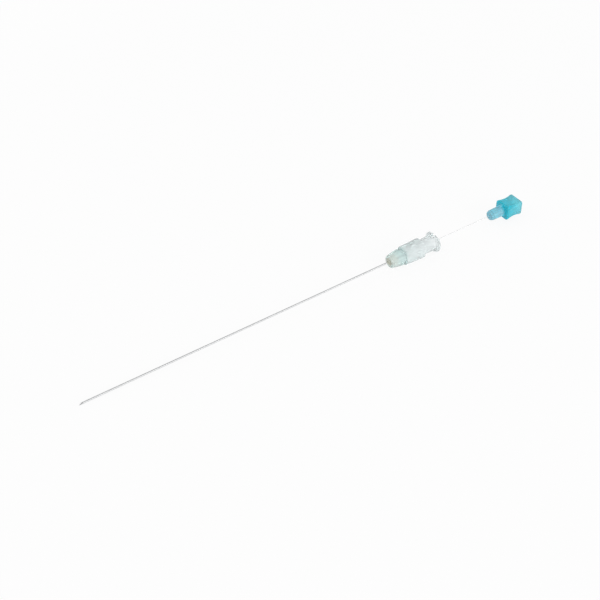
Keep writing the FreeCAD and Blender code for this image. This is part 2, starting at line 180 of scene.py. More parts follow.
class NeedleHandleSizes(bpy.types.PropertyGroup):
    """Sizes of the stylet's moulded handle."""

    gap: length("Seat gap", "Gap between the hub's mouth and the handle, stylet home", 0.1)
    plug: length("Plug length", "Length of the plug in front of the handle", 5.9)
    plug_root: length("Plug root", "Diameter of the plug where it leaves the handle", 4.246)
    plug_tip: length("Plug tip", "Diameter that the plug tapers to", 3.892)
    lead: length("Lead length", "Length of the thinner lead at the plug's tip", 0.7)
    lead_step: length("Lead step", "How much thinner the lead is all round", 0.2)
    key_wide: length("Key width", "Width of the key on the plug", 1.0)
    key_high: length("Key height", "How far the key stands out of the plug", 0.6)
    key_deep: length("Key length", "How far the key reaches into the hub", 1.55)
    deep: length("Handle length", "Length of the handle's block", 7.2)
    wide: length("Handle width", "Width of the handle's block", 6.55)
    high: length("Handle height", "Height of the handle's block", 5.7)
    corner: length("Handle corner", "Rounding of the block's four long edges", 0.9)
    front_round: length("Front rounding", "Rounding of the block's front edges", 0.3)
    rear_round: length("Rear rounding", "Rounding of the block's rear edges", 0.4)
    waist: length("Waist length", "Length of the hollows in the four sides", 5.6)
    waist_deep: length("Waist depth", "Depth of the hollows in the four sides", 0.35)
    wall: length("Wall", "Wall round the cavity at its thinnest", 0.95)
    cavity_deep: length("Cavity depth", "Depth of the cavity in the rear", 5.0)
    cavity_corner: length("Cavity corner", "Rounding of the cavity's four long edges", 0.5)
    boss_wide: length("Boss", "Diameter of the boss that holds the wire", 2.2)
    boss_high: length("Boss length", "Length of the boss", 2.6)


class NeedleFinishes(bpy.types.PropertyGroup):
    """Colours of the pieces. The tints say how much light a millimetre of plastic lets through. Some colours
    also carry painted light: the glue bead is darkened by painted shade, the hub's neck is darkened partly by
    painted shade, and the handle's front is saturated by painted shade while its rear is paled by a painted
    sheen.
    """

    tube_steel: colour("Tube steel", "Drawn steel of the tube", 0.61, 0.615, 0.62)
    wire_steel: colour("Wire steel", "Bright drawn steel of the wire", 0.82, 0.825, 0.83)
    hub_tint: colour("Hub tint", "White light after a millimetre of the hub", 0.975, 0.99, 0.988)
    handle_tint: colour("Handle tint", "White light after a millimetre of the handle", 0.55, 0.95, 0.97)
    hub_nose: colour("Hub nose", "The hub's own colour at the front of its nose", 0.84, 0.91, 0.88)
    # Darker green than the rest of the hub: partly the depth of plastic, partly painted shade on the thick
    # neck
    hub_neck_and_shade: colour("Hub neck", "The hub's own colour at its thick neck", 0.72, 0.87, 0.86)
    hub_rear: colour("Hub rear", "The hub's own colour from its grip to its rim", 0.92, 0.95, 0.955)
    plug_body: colour("Plug", "The handle's own colour at its thin plug", 0.36, 0.73, 0.84)
    # The saturated front is partly painted shade and the paler rear partly a painted whitish sheen, over the
    # handle's own turquoise
    block_front_and_shade: colour("Block front", "The handle's own colour at its solid front", 0.05, 0.72, 0.85)
    block_rear_and_sheen: colour("Block rear", "The handle's own colour at its hollow rear", 0.25, 0.73, 0.81)
    glue: colour("Glue", "Cured glue in the hub's nose", 0.95, 0.95, 0.88)
    # Darker than the glue: painted shade in the glue's hollow face and the bead round the tube
    glue_bead_and_shade: colour("Glue bead", "The glue's hollow face and the bead round the tube", 0.62, 0.64, 0.53)
    floor: colour("Floor", "The plain pale floor", 0.9, 0.9, 0.9)


class NeedleStudio(bpy.types.PropertyGroup):
    """The camera and the light."""

    azimuth: angled("Azimuth", "Where the camera stands round the needle", -33.78)
    elevation: angled("Elevation", "How high the camera stands", 40.837)
    distance: length("Distance", "From the camera to the point that it looks at", 375.46)
    aim: length("Aim", "How far ahead of the socket's mouth the camera looks", 58.06)
    lens: FloatProperty(name="Lens", description="Focal length", default=66.64, subtype="DISTANCE_CAMERA")
    sky: FloatProperty(name="Sky", description="Strength of the light from all round", default=1.0, min=0.0)
    overhead: FloatProperty(
        name="Overhead", description="How bright the studio is overhead", default=0.6, min=0.0
    )
    key: FloatProperty(
        name="Key light", description="Power of the large lamp", default=6.6, min=0.0, unit="POWER"
    )


def in_mm(group):
    """The lengths of a property group in millimetres, by name."""
    return SimpleNamespace(**{name: getattr(group, name) / MM for name in group.__annotations__})


def bevel_end(scene):
    """X of the rear end of the ground bevel, in the needle's own frame."""
    steel = in_mm(scene.needle_steel)
    return steel.tube / math.tan(scene.needle_point.bevel) - steel.tip


# Lines that the surfaces follow


def rounded(corners, steps=6):
    """An open line through corners (x, r, rounding), as an array of x and r.

    At a corner, a and b are the unit directions to its neighbours and h is half the angle between
    them. The arc's centre lies on the bisector, rounding / sin(h) away, and its ends lie
    rounding / tan(h) along a and b. The arc is swept evenly from one end to the other. A place on
    a straight run, where a and b are opposite, has no bisector and stays as it is.
    """
    given = np.array(corners, float)
    places, radii = given[:, :2], given[1:-1, 2:]
    inner = places[1:-1]
    before, after = places[:-2] - inner, places[2:] - inner
    before /= np.linalg.norm(before, axis=1, keepdims=True)
    after /= np.linalg.norm(after, axis=1, keepdims=True)
    half = np.arccos(np.clip((before * after).sum(1, keepdims=True), -1, 1)) / 2
    bisector = before + after
    bisector /= np.maximum(np.linalg.norm(bisector, axis=1, keepdims=True), 1e-9)
    centre = inner + bisector * radii / np.sin(half)
    first = inner + before * radii / np.tan(half) - centre
    last = inner + after * radii / np.tan(half) - centre
    sweep = np.maximum(np.pi - 2 * half[:, :, None], TINY)
    share = np.linspace(0, 1, steps)[None, :, None]
    arc = np.sin((1 - share) * sweep) * first[:, None] + np.sin(share * sweep) * last[:, None]
    turns = centre[:, None] + arc / np.sin(sweep)
    line = np.concatenate([places[:1], turns.reshape(-1, 2), places[-1:]])
    moved = np.linalg.norm(np.diff(line, axis=0), axis=1) > TINY
    return line[np.concatenate([[True], moved])]


def block_radius(angle, half_wide, half_high, corner):
    """Distance from the middle of a rounded rectangle to its outline.

    angle is measured from the top. The flats are at half_wide / |sin| and half_high / |cos|. In the
    corner it is the far root of |t d - c| = corner, d being the direction and c the corner's centre.
    """
    across, up = np.abs(np.sin(angle)), np.abs(np.cos(angle))
    side = half_wide / np.maximum(across, 1e-9)
    top = half_high / np.maximum(up, 1e-9)
    centre_y, centre_z = half_wide - corner, half_high - corner
    along = across * centre_y + up * centre_z
    inside = along**2 - centre_y**2 - centre_z**2 + corner**2
    bend = along + np.sqrt(np.maximum(inside, 0))
    on_side = side * up <= centre_z
    on_top = top * across <= centre_y
    return np.where(on_side, side, np.where(on_top, top, bend))


def smooth_step(value):
    """3 t^2 - 2 t^3 of the value held between 0 and 1."""
    held = np.clip(value, 0, 1)
    return held * held * (3 - 2 * held)


def smooth_max(first, second, width):
    """The larger of two values, blended over the width where they meet."""
    mixed = np.clip(0.5 + (first - second) / (2 * width), 0, 1)
    return second + (first - second) * mixed + width * mixed * (1 - mixed)


class Columns:
    """The columns of a grid, with a straight band on top for a slot or a key.

    In the band y goes evenly from -half to half, so its two edges are flat walls. The other columns
    go round by even angles from one edge of the band to the other, and crowd where extra asks. The
    first and last of them stand at the band's edges too, and walled adds one more at each edge.
    """

    def __init__(self, half, count, band=9, extra=(), walled=False):
        self.half = half
        self.across = np.linspace(-1, 1, band)
        share = np.unique(np.concatenate([np.linspace(0, 1, count), np.asarray(extra, float) / 360]))
        self.share = np.concatenate([[0], share, [1]]) if walled else share
        self.inside = np.concatenate([np.full(band, True), np.full(len(self.share), False)])
        # Which side of the band a column stands at: its share of half, and 0 away from the band
        self.side = np.concatenate([self.across, [1], np.zeros(len(self.share) - 2), [-1]])

    def angles(self, radius):
        """Angle of every column at each row's radius, from the top towards +Y."""
        radius = np.maximum(np.asarray(radius, float), 1.2 * self.half)[:, None]
        band = np.arcsin(self.half * self.across / radius)
        edge = np.arcsin(self.half / radius)
        rest = edge + self.share * (2 * np.pi - 2 * edge)
        return np.concatenate([band, rest], axis=1)


def on_grid(x, radius, angle):
    """Points of a grid from its distances along X, its radii and its angles from the top."""
    x, radius, angle = np.broadcast_arrays(x, radius, angle)
    return np.stack([x, radius * np.sin(angle), radius * np.cos(angle)], axis=2)


def turned(line, columns):
    """A line of x and r turned about X."""
    return on_grid(line[:, :1], line[:, 1:], columns.angles(line[:, 1]))


# Putting surfaces in the scene


def place(points, drawn):
    """Tip points of the needle's own frame as the needle lies, drawn out along it, in metres."""
    x, y, z = points[..., 0] + drawn, points[..., 1], points[..., 2]
    cos, sin = math.cos(LEAN), math.sin(LEAN)
    return np.stack([x * cos - z * sin, y, x * sin + z * cos], axis=-1) * MM


def closed_mesh(name, grids, drawn=0.0):
    """One mesh from grids of points that each close on themselves round their columns.

    A grid whose first and last rows are single points is closed by them. Any other is joined from
    its last row to its first. The quads turn outwards, which the sign of the volume
    (the sum of a . (b x c) / 6 over the triangles) tells.
    """
    vertices, faces, start = [], [], 0
    for grid in grids:
        rows, columns = grid.shape[:2]
        number = start + np.arange(rows * columns).reshape(rows, columns)
        poles = all(np.ptp(grid[end], axis=0).max() < TINY for end in (0, -1))
        near = number[:-1] if poles else number
        far = number[1:] if poles else np.roll(number, -1, axis=0)
        quads = np.stack([near, np.roll(near, -1, 1), np.roll(far, -1, 1), far], axis=2).reshape(-1, 4)
        flat = grid.reshape(-1, 3)
        a, b, c, d = (flat[quads[:, corner] - start] for corner in range(4))
        volume = (a * np.cross(b, c)).sum() + (a * np.cross(c, d)).sum()
        vertices.append(flat)
        faces.append(quads if volume > 0 else quads[:, ::-1])
        start += rows * columns
    mesh = bpy.data.meshes.new(name)
    mesh.from_pydata(place(np.concatenate(vertices), drawn).tolist(), [], np.concatenate(faces).tolist())
    merging = bmesh.new()
    merging.from_mesh(mesh)
    bmesh.ops.remove_doubles(merging, verts=merging.verts, dist=TINY)
    merging.to_mesh(mesh)
    merging.free()
    mesh.shade_smooth()
    mesh.set_sharp_from_angle(angle=math.radians(35))
    return mesh


def add_piece(name, grids, body, node, material, drawn=0.0):
    """Put a finished surface in the scene, in place of its CAD node."""
    mesh = closed_mesh(name, grids, drawn)
    mesh.materials.append(material)
    piece = bpy.data.objects.new(name, mesh)
    bpy.context.scene.collection.objects.link(piece)
    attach(piece, body)
    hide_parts(node)


# Materials


class Signal:
    """A shader socket in Python arithmetic. Each operator adds its Math node."""

    def __init__(self, recipe, socket):
        self.recipe, self.socket = recipe, socket

    def maths(self, operation, first, second):
        return self.recipe.node("ShaderNodeMath", {"operation": operation}, {0: first, 1: second})

    def __add__(self, other):
        return self.maths("ADD", self, other)

    __radd__ = __add__

    def __sub__(self, other):
        return self.maths("SUBTRACT", self, other)

    def __rsub__(self, other):
        return self.maths("SUBTRACT", other, self)

    def __mul__(self, other):
        return self.maths("MULTIPLY", self, other)

    __rmul__ = __mul__

    def __lt__(self, other):
        return self.maths("LESS_THAN", self, other)

    def __gt__(self, other):
        return self.maths("GREATER_THAN", self, other)


class Recipe:
    """A material's or the world's node tree, made node by node."""

    def __init__(self, owner):
        owner.use_nodes = True
        self.owner, self.tree = owner, owner.node_tree
        self.tree.nodes.clear()

    def node(self, kind, settings=None, sockets=None, output=0):
        """Add a node, set it up, then give its sockets values or links, and return one output."""
        made = self.tree.nodes.new(kind)
        for key, value in (settings or {}).items():
            if key == "stops":
                for stop, (at, shade) in zip(made.color_ramp.elements, value):
                    stop.position, stop.color = at, (shade, shade, shade, 1)
            else:
                setattr(made, key, value)
        for key, value in (sockets or {}).items():
            if isinstance(value, Signal):
                self.tree.links.new(value.socket, made.inputs[key])
            else:
                made.inputs[key].default_value = value
        return Signal(self, made.outputs[output])

    def along_needle(self, cell_x, cell_across, drawn=0.0):
        """Object coordinates turned into the needle's frame, counted in cells of that size in mm."""
        coordinates = self.node("ShaderNodeTexCoord", output="Object")
        shift = (drawn * MM * math.cos(LEAN), 0, drawn * MM * math.sin(LEAN))
        sockets = {
            "Vector": coordinates,
            "Location": shift,
            "Rotation": (0, -LEAN, 0),
            "Scale": (cell_x * MM, cell_across * MM, cell_across * MM),
        }
        return self.node("ShaderNodeMapping", {"vector_type": "TEXTURE"}, sockets)

    def place_x(self, drawn=0.0):
        """Where a point lies along the needle, in mm."""
        return self.node("ShaderNodeSeparateXYZ", None, {0: self.along_needle(1.0, 1.0, drawn)})

    def noise(self, vector, detail=2.0, roughness=0.5):
        """Noise of one cell to the unit, between 0 and 1."""
        sockets = {"Vector": vector, "Scale": 1.0, "Detail": detail, "Roughness": roughness}
        return self.node("ShaderNodeTexNoise", None, sockets)

    def mixed(self, share, first, second):
        """A colour between two colours, of which the first may come from a node."""
        sockets = {0: share, 6: first if isinstance(first, Signal) else (*first, 1), 7: (*second, 1)}
        return self.node("ShaderNodeMix", {"data_type": "RGBA"}, sockets, output=2)

    def graded(self, shades, drawn=0.0):
        """A colour that turns smoothly from each shade to the next, between their places along X in mm."""
        place_x = self.place_x(drawn)
        places = list(shades)
        tint = shades[places[0]]
        for start, end in zip(places, places[1:]):
            sockets = {"Value": place_x, "From Min": start, "From Max": end}
            share = self.node("ShaderNodeMapRange", {"interpolation_type": "SMOOTHSTEP"}, sockets)
            tint = self.mixed(share, tint, shades[end])
        return tint

    def clouded(self, tint, clouds, spread):
        """A colour made lighter and darker by clouds between 0 and 1, by half the spread each way."""
        sockets = {"Color": tint, "Value": clouds * spread + (1 - spread / 2)}
        return self.node("ShaderNodeHueSaturation", None, sockets)

    def bump(self, height, depth):
        """A normal that leans as a surface does whose relief is the height times the depth, in mm."""
        return self.node("ShaderNodeBump", None, {"Height": height, "Distance": depth * MM, "Strength": 1.0})

    def finish(self, surface, volume=None):
        """Link the shaders to the output, and return the material or the world."""
        world = isinstance(self.owner, bpy.types.World)
        made = self.tree.nodes.new("ShaderNodeOutputWorld" if world else "ShaderNodeOutputMaterial")
        self.tree.links.new(surface.socket, made.inputs["Surface"])
        if volume:
            self.tree.links.new(volume.socket, made.inputs["Volume"])
        return self.owner


def shaded(tint, share):
    """A colour darkened to a share of itself."""
    return tuple(channel * share for channel in tint)


def absorbing(recipe, tint):
    """Volume absorption whose light, after a millimetre, is the tint times what went in."""
    per_metre = [-math.log(max(channel, 1e-4)) / MM for channel in tint]
    density = max(per_metre)
    left = [1 - value / density for value in per_metre]
    return recipe.node("ShaderNodeVolumeAbsorption", None, {"Color": (*left, 1), "Density": density})


def steel_material(name, tint, bevel_end_x, drawn=0.0):
    """Drawn steel with fine lines along it, and on the bevel the grinding wheel's marks across it."""
    recipe = Recipe(bpy.data.materials.new(name))
    lines = recipe.noise(recipe.along_needle(14.0, 0.035, drawn), detail=3.0, roughness=0.6)
    clouds = recipe.noise(recipe.along_needle(6.0, 1.5, drawn))
    marks = recipe.noise(recipe.along_needle(0.02, 0.6, drawn))
    on_bevel = recipe.place_x(drawn) < bevel_end_x
    line_height = lines * 0.6
    sockets = {
        "Base Color": recipe.mixed(lines * 0.6 + clouds * 0.4, shaded(tint, 0.92), shaded(tint, 1.06)),
        "Metallic": 1.0,
        "Roughness": on_bevel * 0.12 + (lines * 0.1 + clouds * 0.08 + 0.34),
        "Normal": recipe.bump(on_bevel * (marks - line_height) + line_height, 0.0005),
    }
    return recipe.finish(recipe.node("ShaderNodeBsdfPrincipled", None, sockets))


def clear_plastic(name, tint, bodies, clearness, gloss, bending, drawn=0.0):
    """Moulded plastic between clear and milky, with faint flow lines and a soft gloss.

    tint is the colour that its depth gives, and bodies are its colours at places along X: its own colours,
    with painted shade and painted sheen laid into some of them.
    clearness is the share of light that goes in, gloss how rough the satin surface is, and bending
    the refractive index.
    """
    recipe = Recipe(bpy.data.materials.new(name))
    flow = recipe.noise(recipe.along_needle(5.0, 1.2, drawn), detail=3.0)
    grain = recipe.noise(recipe.along_needle(0.12, 0.12, drawn), detail=1.0)
    sockets = {
        "Base Color": recipe.clouded(recipe.graded(bodies, drawn), flow, 0.12),
        "Roughness": flow * gloss + grain * gloss + gloss * 0.2,
        "IOR": bending,
        "Transmission Weight": clearness,
        "Normal": recipe.bump(flow * 0.8 + grain * 0.2, 0.006),
    }
    surface = recipe.node("ShaderNodeBsdfPrincipled", None, sockets)
    return recipe.finish(surface, absorbing(recipe, tint))


def glue_material(name, tints):
    """Cured glue: a clouded resin with a wet gloss and a few fine bubbles, its tints along X. Its darker tint
    at the front is painted shade in the hollow round the tube.
    """
    recipe = Recipe(bpy.data.materials.new(name))
    clouds = recipe.noise(recipe.along_needle(0.7, 0.7), detail=3.0)
    cells = {"Vector": recipe.along_needle(0.35, 0.35), "Scale": 1.0}
    bubbles = recipe.node("ShaderNodeTexVoronoi", None, cells, output="Distance") < 0.2
    sockets = {
        "Base Color": recipe.clouded(recipe.graded(tints), clouds * 0.8 + bubbles * 0.2, 0.3),
        "Roughness": clouds * 0.2 + 0.12,
        "IOR": 1.5,
        "Transmission Weight": 0.3,
        "Coat Weight": 0.6,
        "Normal": recipe.bump(clouds, 0.02),
    }
    return recipe.finish(recipe.node("ShaderNodeBsdfPrincipled", None, sockets))


def seen_as_background(recipe):
    """1 for the rays that show the background: the camera's, and those off metal and through glass."""
    rays = recipe.node("ShaderNodeLightPath").socket.node.outputs
    seen = Signal(recipe, rays["Is Camera Ray"]) + Signal(recipe, rays["Is Glossy Ray"])
    return recipe.node("ShaderNodeClamp", None, {"Value": seen + Signal(recipe, rays["Is Transmission Ray"])})


# The pieces


def ground_front(y, z, steel, angles):
    """X of the ground point over a place (y, z) of the tube's end.

    A flat passes through the lowest point of the tube's end and rises at its angle as the height
    grows, the height being z for the bevel, and z turned to either side for the two lancet flats.
    The tube ends at whichever flat lies furthest back.
    """
    ends = []
    for turn, slope in ((0.0, angles.bevel), (angles.turned, angles.lancet), (-angles.turned, angles.lancet)):
        height = z * math.cos(turn) - y * math.sin(turn) + steel.tube / 2 * math.cos(turn)
        ends.append(height / math.tan(slope) - steel.tip)
    return np.maximum.reduce([*ends, np.full_like(y, -steel.tip)])


class NEEDLE_OT_steel_tube(bpy.types.Operator):
    """Make the steel tube with its ground point."""

    bl_idname = "needle.steel_tube"
    bl_label = "Steel tube"

    def execute(self, context):
        steel = in_mm(context.scene.needle_steel)
        angles = context.scene.needle_point
        columns = Columns(steel.lumen / 4, 64, band=7)
        # From the rear end forwards outside, across the ground face, and back inside
        outer, inner = steel.tube / 2, steel.lumen / 2
        shares = np.array([0, 0.5, 0.9, 0.98, 1.0])
        face = np.linspace(outer, inner, 8)[1:-1]
        radius = np.concatenate([np.full_like(shares, outer), face, np.full_like(shares, inner)])
        share = np.concatenate([shares, np.ones_like(face), shares[::-1]])
        angle = columns.angles(radius)
        y, z = radius[:, None] * np.sin(angle), radius[:, None] * np.cos(angle)
        rear = -steel.shoulder + BOND
        x = rear + share[:, None] * (ground_front(y, z, steel, angles) - rear)
        grid = np.stack([x, y, z], axis=2)
        tint = context.scene.needle_finishes.tube_steel
        material = steel_material("drawn_tube_steel", tint, bevel_end(context.scene))
        add_piece("steel_tube", [grid], "needle", "cannula", material)
        return {"FINISHED"}


class NEEDLE_OT_stylet_wire(bpy.types.Operator):
    """Make the stylet's wire, ground with the tube and flattened at its tail."""

    bl_idname = "needle.stylet_wire"
    bl_label = "Stylet wire"

    def execute(self, context):
        steel = in_mm(context.scene.needle_steel)
        radius = steel.wire / 2
        columns = Columns(steel.wire / 4, 44, band=7)
        # The ground face from its middle outwards, then the round wire back to the tail
        face = np.linspace(0, radius, 7)
        runs = np.array([0.1, 0.5, 0.9, 0.98, 1.0])
        rows = np.concatenate([face, np.full_like(runs, radius)])
        angle = columns.angles(rows)
        y, z = rows[:, None] * np.sin(angle), rows[:, None] * np.cos(angle)
        height = z + steel.tube / 2
        front = height / math.tan(context.scene.needle_point.bevel) - steel.tip
        share = np.concatenate([np.zeros_like(face), runs])[:, None]
        round_part = np.stack([front + share * (steel.tail_start - front), y, z], axis=2)
        # The flattened tail widens from the round section over its first diameter
        diameters = np.array([0.25, 0.5, 0.75, 1, 3, 5.3])[:, None]
        turn = np.broadcast_to(angle[-1:], (len(diameters), angle.shape[1]))
        half_wide, half_thick = steel.tail_width / 2, steel.tail_thickness / 2
        flat = block_radius(turn, half_wide, half_thick, 0.8 * half_thick)
        widened = radius + smooth_step(diameters) * (flat - radius)
        tail = on_grid(steel.tail_start + diameters * steel.wire, widened, turn)
        end = np.broadcast_to([steel.tail_end, 0, 0], tail[:1].shape)
        tint = context.scene.needle_finishes.wire_steel
        material = steel_material("bright_wire_steel", tint, bevel_end(context.scene), DRAWN_OUT)
        grid = np.concatenate([round_part, tail, end])
        add_piece("bright_stylet_wire", [grid], "stylet", "stylet_wire", material, DRAWN_OUT)
        return {"FINISHED"}


class NEEDLE_OT_hub(bpy.types.Operator):
    """Make the clear hub with its lens, lugs, key slot, socket and glue well."""

    bl_idname = "needle.hub"
    bl_label = "Clear hub"

    def execute(self, context):
        hub = in_mm(context.scene.needle_hub)
        steel = in_mm(context.scene.needle_steel)
        columns = Columns(hub.slot_wide / 2, 176, extra=lug_edges(), walled=True)
        grid = np.concatenate([grip_rows(hub, columns), round_rows(hub, steel, columns)])
        finishes = context.scene.needle_finishes
        # The neck's darker green is partly painted shade standing in for the dark thick nose and its edge
        bodies = {
            -hub.reach + 1.5: finishes.hub_nose,
            -hub.reach + hub.nose: finishes.hub_neck_and_shade,
            -steel.shoulder: finishes.hub_rear,
        }
        material = clear_plastic(
            "clear_hub_plastic", finishes.hub_tint, bodies, clearness=0.5, gloss=0.16, bending=1.25
        )
        add_piece("clear_hub", [grid], "needle", "hub", material)
        return {"FINISHED"}


def lug_edges():
    """Angles, in degrees from the top, over which the lugs begin and end."""
    half, across = LUG_SPAN / 2, LUG_RISE / 2 * np.linspace(-1, 1, 4)
    ends = np.array([90 - half, 90 + half, 270 - half, 270 + half])
    return (ends[:, None] + across).ravel()


def grip_rows(hub, columns):
    """Rows of the grip, from its front end to its rear.

    Each is a rounded rectangle whose sides spread evenly to the rear. At the two ends it is inset by
    rounding * (1 - sin(a)) as x moves by rounding * (1 - cos(a)), a quarter turn of a. On top the
    lens is the cap of a sphere, blended in by a smooth maximum of the two heights.
    """
    rear = -(hub.reach - hub.nose - hub.neck - hub.grip)
    front, middle = rear - hub.grip, rear - hub.grip / 2
    turn = np.linspace(0, np.pi / 2, 8)
    # Fine rows reach a little past the lens
    reach = hub.lens_wide / 2 + 0.3
    runs = [
        front + hub.grip_round * (1 - np.cos(turn)),
        np.linspace(front + hub.grip_round, middle - reach, 8)[1:-1],
        np.linspace(middle - reach, middle + reach, 34),
        np.linspace(middle + reach, rear - hub.grip_round, 8)[1:-1],
        (rear - hub.grip_round * (1 - np.cos(turn)))[::-1],
    ]
    x = np.concatenate(runs)[:, None]
    inset = np.zeros(len(x))
    inset[: len(turn)] = hub.grip_round * (1 - np.sin(turn))
    inset[-len(turn) :] = inset[: len(turn)][::-1]
    inset = inset[:, None] + hub.grip_flare * (rear - x) / hub.grip
    half_wide, half_high = hub.grip_wide / 2 - inset, hub.grip_high / 2 - inset
    corner = np.maximum(hub.grip_corner - inset, 0.5)
    angle = columns.angles(half_high[:, 0])
    within = np.where(x < middle, hub.neck_wide / 2, hub.barrel_front / 2) + COLLAR
    radius = np.maximum(block_radius(angle, half_wide, half_high, corner), within)
    points = on_grid(x, radius, angle)
    sphere = (hub.lens_wide**2 / 4 + hub.lens_rise**2) / (2 * hub.lens_rise)
    seat = hub.grip_high / 2 - hub.grip_flare / 2
    away = (points[..., 0] - middle) ** 2 + points[..., 1] ** 2
    cap = seat + hub.lens_rise - sphere + np.sqrt(np.maximum(sphere**2 - away, 0))
    on_top = (points[..., 2] > 0) & (away < reach**2)
    blend = 0.06
    points[..., 2] = np.where(on_top, smooth_max(points[..., 2], cap, blend), points[..., 2])
    return points


def round_rows(hub, steel, columns):
    """Rows of the hub's round parts: barrel, rim and mouth, the inside, the nose and the neck.

    They are one line of rounded corners turned about X. On the rim, the lugs add to the radius
    between a slope in front and the rear face. In the band of the key slot, x and the radius are
    held at the slot's floor. The columns next to it hold their radius at the barrel's, so that each
    wall is laid in two flat strips: over the barrel's radius, and from there to the floor.
    """
    rear = -(hub.reach - hub.nose - hub.neck - hub.grip)
    nose_end = -(hub.reach - hub.nose)
    bore = steel.tube / 2 - BOND
    well_end = -(hub.reach - hub.well_deep - hub.well_cone)
    well = hub.well_wide / 2 - BOND
    rim, rim_round = hub.rim_wide / 2, 0.15
    half_slope = 0.5 * hub.lug_slope
    lug_front = -hub.rim_thick + half_slope
    taper = (hub.barrel_rear - hub.barrel_front) / 2 / (-hub.rim_thick - rear)
    wall = hub.barrel_front / 2 + taper * (-hub.slot_deep - rear)
    inner = hub.socket_wide / 2 - TAPER / 2 * hub.slot_deep
    line = rounded(
        [
            (rear, hub.barrel_front / 2 + COLLAR, 0),
            (rear, hub.barrel_front / 2, 0.1),
            (-hub.slot_deep, wall, 0),
            (-hub.rim_thick, hub.barrel_rear / 2, 0.28),
            (-hub.rim_thick, rim, 0.08),
            (lug_front, rim, 0),
            (lug_front + half_slope, rim, 0),
            (0, rim, rim_round),
            (0, hub.socket_wide / 2, 0.1),
            (-hub.slot_deep, inner, 0),
            (-hub.socket_deep, hub.socket_end / 2, 0.1),
            (-hub.socket_deep, hub.chamber_wide / 2, 0.08),
            (-hub.chamber_end, hub.chamber_wide / 2, 0.4),
            (-steel.shoulder, hub.funnel_wide / 2, 0.03),
            (-steel.shoulder, bore, 0),
            (well_end, bore, 0),
            (well_end - hub.well_cone, well, 0.2),
            (-hub.reach, well, 0.04),
            (-hub.reach, hub.nose_front / 2, hub.nose_round),
            (nose_end, hub.nose_rear / 2, 0.12),
            (nose_end, hub.neck_wide / 2, 0.2),
            (rear - hub.grip, hub.neck_wide / 2, 0.1),
            (rear - hub.grip, hub.neck_wide / 2 + COLLAR, 0),
        ]
    )
    x, radius = line[:, :1], line[:, 1:]
    angle = columns.angles(radius[:, 0])
    from_side = np.degrees(np.abs(np.abs(np.remainder(angle + np.pi, 2 * np.pi) - np.pi) - np.pi / 2))
    on_lug = smooth_step((LUG_SPAN / 2 + LUG_RISE / 2 - from_side) / LUG_RISE)
    outside = radius > rim - rim_round - BOND
    slope = np.clip((x - lug_front) / half_slope, 0, 1)
    radius = radius + np.where(outside, slope * on_lug * (hub.lug_wide - hub.rim_wide) / 2, 0)
    behind_floor = x > -hub.slot_deep + TINY
    in_slot = columns.inside & behind_floor
    at_wall = (columns.side != 0) & ~columns.inside & behind_floor
    radius = np.where(in_slot, np.clip(radius, inner, wall), radius)
    radius = np.where(at_wall, np.minimum(radius, wall), radius)
    sine = np.clip(columns.half * columns.side / radius, -1, 1)
    angle = np.where(in_slot | at_wall, np.arcsin(sine), angle)
    return on_grid(np.where(in_slot, -hub.slot_deep, x), radius, angle)


class NEEDLE_OT_glue(bpy.types.Operator):
    """Make the glue that fills the well in the nose and climbs the tube."""

    bl_idname = "needle.glue"
    bl_label = "Glue fillet"

    def execute(self, context):
        hub, steel = in_mm(context.scene.needle_hub), in_mm(context.scene.needle_steel)
        bore, well = steel.tube / 2 - BOND, hub.well_wide / 2
        bottom = -(hub.reach - hub.well_deep - hub.well_cone)
        # The free face is a hollow curve that falls as (1 - t)^2.2 from the tube to the well's edge,
        # where it stands a little in front of the hub
        edge = -hub.reach - 0.03
        share = np.linspace(0, 1, 14)[:, None]
        climb = edge - hub.meniscus * (1 - share) ** 2.2
        hollow = np.concatenate([climb, bore + (well - bore) * share], axis=1)
        filled = rounded(
            [
                (edge, well, 0),
                (bottom - hub.well_cone, well, 0.2),
                (bottom, bore, 0),
                (bottom + 0.02, bore, 0),
            ]
        )
        points = turned(np.concatenate([hollow, filled[1:]]), Columns(0.2, 90, band=7))
        # The meniscus sags to the low side, where more glue ran
        share = np.clip(-(points[..., 0] + hub.reach) / hub.meniscus, 0, 1)
        from_top = np.arctan2(points[..., 1], points[..., 2])
        points[..., 2] -= 0.18 * share * (1 - share) * (1 - np.cos(from_top))
        finishes = context.scene.needle_finishes
        # The darker tone at the hollow face and the bead round the tube is painted shade
        tints = {-hub.reach - 0.1: finishes.glue_bead_and_shade, -hub.reach + 0.5: finishes.glue}
        material = glue_material("amber_glue", tints)
        add_piece("glue_fillet", [points], "needle", "adhesive", material)
        return {"FINISHED"}


class NEEDLE_OT_handle(bpy.types.Operator):
    """Make the stylet's turquoise handle with its keyed plug."""

    bl_idname = "needle.handle"
    bl_label = "Stylet handle"

    def execute(self, context):
        handle = in_mm(context.scene.needle_handle)
        columns = Columns(handle.key_wide / 2, 150, band=7)
        rows = [make(handle, columns) for make in (plug_rows, block_rows, cavity_rows)]
        finishes = context.scene.needle_finishes
        # The block's saturated front is partly painted shade and its paler rear partly a painted sheen
        bodies = {
            -handle.key_deep: finishes.plug_body,
            handle.gap + handle.front_round: finishes.block_front_and_shade,
            handle.deep: finishes.block_rear_and_sheen,
        }
        material = clear_plastic(
            "turquoise_handle_plastic", finishes.handle_tint, bodies,
            clearness=0.42, gloss=0.13, bending=1.33, drawn=DRAWN_OUT,
        )
        grid = np.concatenate(rows)
        add_piece("turquoise_handle", [grid], "stylet", "stylet_handle", material, DRAWN_OUT)
        return {"FINISHED"}


